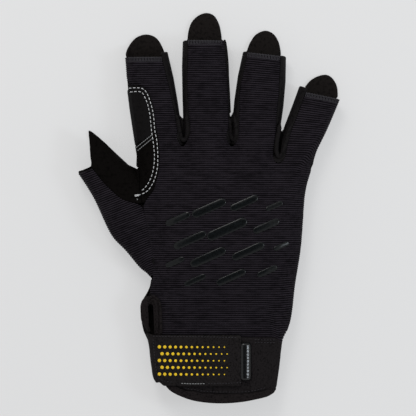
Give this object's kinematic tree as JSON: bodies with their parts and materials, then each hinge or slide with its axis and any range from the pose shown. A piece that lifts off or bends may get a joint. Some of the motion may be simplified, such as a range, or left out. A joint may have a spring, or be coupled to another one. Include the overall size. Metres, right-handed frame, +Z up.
{
  "type": "climbing glove",
  "caption": "Right-hand open-finger climbing glove with ribbed knit back, leather palm, finger tongues, wrist vent and wide wrist strap, lying on its palm.",
  "frame": {"origin": "middle of the whole glove's outline, on the surface that it lies on", "axes": "+Z up through the back of the hand, +Y towards the fingertips, +X towards the little finger"},
  "size_m": [0.157, 0.2334, 0.024],
  "materials": {
    "ribbed_knit": "near-black ribbed stretch knit with a faint purple cast",
    "palm_leather": "warm black suede leather, matt",
    "gusset_leather": "soft black leather, matt",
    "patch_leather": "smooth black synthetic leather, fine grain",
    "binding_tape": "black folded tape",
    "cuff_cloth": "black brushed cuff cloth",
    "strap_cloth": "black smooth strap cloth",
    "tab_plastic": "glossy black moulded tab",
    "stitch_thread": "off-white sewing thread",
    "dark_thread": "dark grey sewing thread",
    "gloss_print": "thin glossy black raised print",
    "yellow_print": "flat yellow raised print"
  },
  "bodies": {
    "root": {"back_panel": "ribbed_knit", "palm_panel": "palm_leather", "fourchette_index_middle": "gusset_leather", "fourchette_middle_ring": "gusset_leather", "fourchette_ring_little": "gusset_leather", "index_patch": "patch_leather", "web_patch": "patch_leather", "thumb_back": "ribbed_knit", "thumb_leather": "palm_leather", "vent_binding": "binding_tape", "cuff_band": "cuff_cloth", "cuff_hem": "binding_tape", "wrist_strap": "strap_cloth", "strap_tab": "tab_plastic"}
  },
  "joints": []
}
